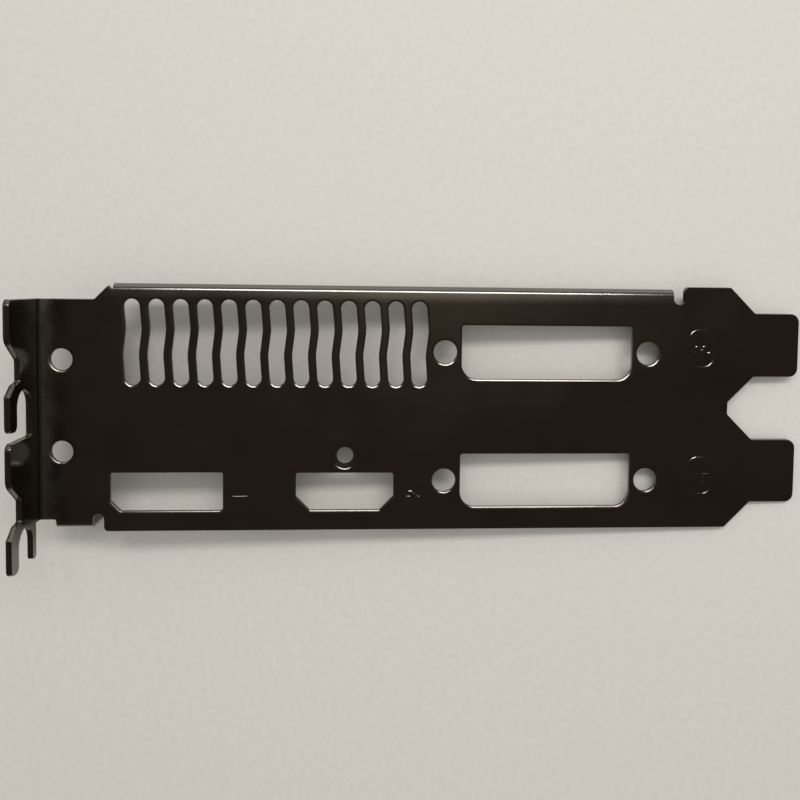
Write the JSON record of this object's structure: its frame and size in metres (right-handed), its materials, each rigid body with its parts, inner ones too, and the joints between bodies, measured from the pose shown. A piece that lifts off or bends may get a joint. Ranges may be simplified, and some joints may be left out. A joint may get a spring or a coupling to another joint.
{
  "type": "graphics card bracket",
  "caption": "Double-width expansion card bracket: a folded steel plate with connector openings, wavy vents, a hooked screw foot, a stiffening flange, a board tab and slot prongs.",
  "frame": {"origin": "middle of the bounding box at its lowest point, which is the tip of the board tab", "axes": "+X along the plate from the foot to the prong tips, +Y across the plate towards the long-edge flange, +Z out of the plate's outer face, the side that the foot is folded to"},
  "size_m": [0.12, 0.042, 0.0196],
  "materials": {
    "dark_nickel": "dark nickel plating, satin, with a fine grain across the plate and brighter sheared edges"
  },
  "bodies": {
    "root": {"bracket": "dark_nickel"}
  },
  "joints": []
}
